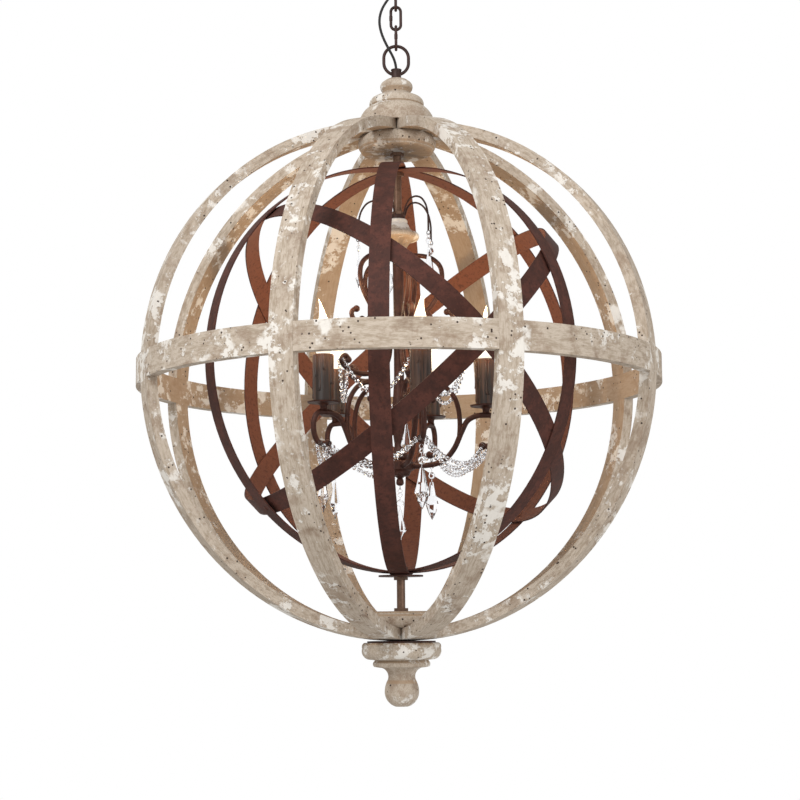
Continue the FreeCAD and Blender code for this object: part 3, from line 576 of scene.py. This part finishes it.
def make_wax(shape):
    """Runs of wax down the outside of every sleeve, each of its own length and thickness."""
    for n, angle in enumerate(light_angles):
        centre = side(angle) * candle_circle
        for k in range(runs_per_sleeve):
            turn = 33 * k + 17 * n + 7 * ((k * 5) % 3)
            length = 0.018 + 0.0085 * ((k * 7 + n * 3) % 5)
            thick = 0.0013 + 0.0003 * ((k * 3 + n) % 3)
            top = sleeve_top - 0.0006
            start = centre + side(turn) * (sleeve_radius - 0.0004) + Vector((0, 0, top - length))
            profile = [(0, -thick * 1.3), (thick * 0.8, -thick * 0.9), (thick * 1.25, 0),
                       (thick, thick * 2), (thick * 0.8, length * 0.55), (thick * 0.95, length - 0.001),
                       (0, length)]
            lathe(shape, profile, start, None, 10)


new_piece("wax_runs", make_wax, candle_resin)

# %% [markdown]
# ## Bead garlands
# One Geometry Nodes tree strings the beads along all the hanging curves.

# %% Garland curves
arm_low = globe_centre - 0.0869
scroll_tip_height = globe_centre + 0.0170
points_per_string = 25
garland_rows = [  # distance from the middle, height, half width of the bar, sag
    (0.115, arm_low, 0.0041, 0.026),
    (0.103, arm_low, 0.0057, 0.031),
    (0.0825, scroll_tip_height, 0.0052, 0.044),
]


def garland_curves():
    """Edges along each string, from one arm or scroll to the next."""
    data = bpy.data.meshes.new("garland curves")
    points, edges = [], []
    for n, angle in enumerate(light_angles):
        following = light_angles[(n + 1) % light_count]
        for radius, height, reach, drop in garland_rows:
            start = side(angle) * radius + side(angle + 90) * reach + Vector((0, 0, height))
            end = side(following) * radius - side(following + 90) * reach + Vector((0, 0, height))
            first = len(points)
            for k in range(points_per_string):
                t = k / (points_per_string - 1)
                points.append(start * (1 - t) + end * t - Vector((0, 0, drop * 4 * t * (1 - t))))
            edges += [(first + k, first + k + 1) for k in range(points_per_string - 1)]
    data.from_pydata(points, edges, [])
    return data


# %% Bead string tree
def bead_string_tree():
    """Faceted beads end to end along every curve, each rolled by chance about its string."""
    tree = bpy.data.node_groups.new("bead string", "GeometryNodeTree")
    face = tree.interface
    face.new_socket("Geometry", in_out="INPUT", socket_type="NodeSocketGeometry")
    wanted = [("Bead Radius", "NodeSocketFloat", 0.0029), ("Spacing", "NodeSocketFloat", 0.0064),
              ("Facets", "NodeSocketInt", 8), ("Seed", "NodeSocketInt", 11)]
    for name, kind, value in wanted:
        face.new_socket(name, in_out="INPUT", socket_type=kind).default_value = value
    face.new_socket("Glass", in_out="INPUT", socket_type="NodeSocketMaterial")
    face.new_socket("Geometry", in_out="OUTPUT", socket_type="NodeSocketGeometry")
    new, join = tree.nodes.new, tree.links.new
    given = new("NodeGroupInput").outputs
    curve = new("GeometryNodeMeshToCurve")
    join(given["Geometry"], curve.inputs["Mesh"])
    spots = new("GeometryNodeCurveToPoints")
    spots.mode = "LENGTH"
    join(curve.outputs["Curve"], spots.inputs["Curve"])
    join(given["Spacing"], spots.inputs["Length"])
    stone = new("GeometryNodeMeshUVSphere")
    stone.inputs["Rings"].default_value = 4
    stone.inputs["Radius"].default_value = 1.0
    join(given["Facets"], stone.inputs["Segments"])
    along = new("FunctionNodeAlignRotationToVector")
    along.axis = "Z"
    join(spots.outputs["Tangent"], along.inputs["Vector"])
    roll = new("FunctionNodeRandomValue")
    roll.data_type = "FLOAT"
    roll.inputs["Max"].default_value = 6.283
    join(given["Seed"], roll.inputs["Seed"])
    spin = new("ShaderNodeCombineXYZ")
    join(next(o for o in roll.outputs if o.enabled), spin.inputs["Z"])
    turned = new("FunctionNodeEulerToRotation")
    join(spin.outputs[0], turned.inputs[0])
    rotated = new("FunctionNodeRotateRotation")
    rotated.rotation_space = "LOCAL"
    join(along.outputs["Rotation"], rotated.inputs["Rotation"])
    join(turned.outputs["Rotation"], rotated.inputs["Rotate By"])
    half = new("ShaderNodeMath")
    half.operation = "MULTIPLY"
    half.inputs[1].default_value = 0.49
    join(given["Spacing"], half.inputs[0])
    size = new("ShaderNodeCombineXYZ")
    join(given["Bead Radius"], size.inputs["X"])
    join(given["Bead Radius"], size.inputs["Y"])
    join(half.outputs[0], size.inputs["Z"])
    beads = new("GeometryNodeInstanceOnPoints")
    join(spots.outputs["Points"], beads.inputs["Points"])
    join(stone.outputs["Mesh"], beads.inputs["Instance"])
    join(rotated.outputs["Rotation"], beads.inputs["Rotation"])
    join(size.outputs[0], beads.inputs["Scale"])
    real = new("GeometryNodeRealizeInstances")
    join(beads.outputs["Instances"], real.inputs["Geometry"])
    dressed = new("GeometryNodeSetMaterial")
    join(real.outputs["Geometry"], dressed.inputs["Geometry"])
    join(given["Glass"], dressed.inputs["Material"])
    join(dressed.outputs["Geometry"], new("NodeGroupOutput").inputs["Geometry"])
    return tree


def grown(name, base, tree, values):
    """Run a tree on a base mesh and keep the result as a plain mesh on the globe."""
    seed = bpy.data.objects.new(name + " seed", base)
    bpy.context.collection.objects.link(seed)
    step = seed.modifiers.new("grow", "NODES")
    step.node_group = tree
    sockets = {s.name: s.identifier for s in tree.interface.items_tree if s.in_out == "INPUT"}
    for label, value in values.items():
        step[sockets[label]] = value
    ready = seed.evaluated_get(bpy.context.evaluated_depsgraph_get())
    data = bpy.data.meshes.new_from_object(ready)
    data.name = name
    data.materials.pop(index=0)
    bpy.data.objects.remove(seed)
    piece = bpy.data.objects.new(name, data)
    bpy.context.collection.objects.link(piece)
    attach(piece, "globe")
    return piece


garlands = grown("garlands", garland_curves(), bead_string_tree(),
                 {"Bead Radius": 0.0029, "Spacing": 0.0064, "Facets": 8, "Seed": 11, "Glass": cut_glass})
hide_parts("bead_garlands")

# %% [markdown]
# ## Finish

# %% Finish
bpy.context.view_layer.update()
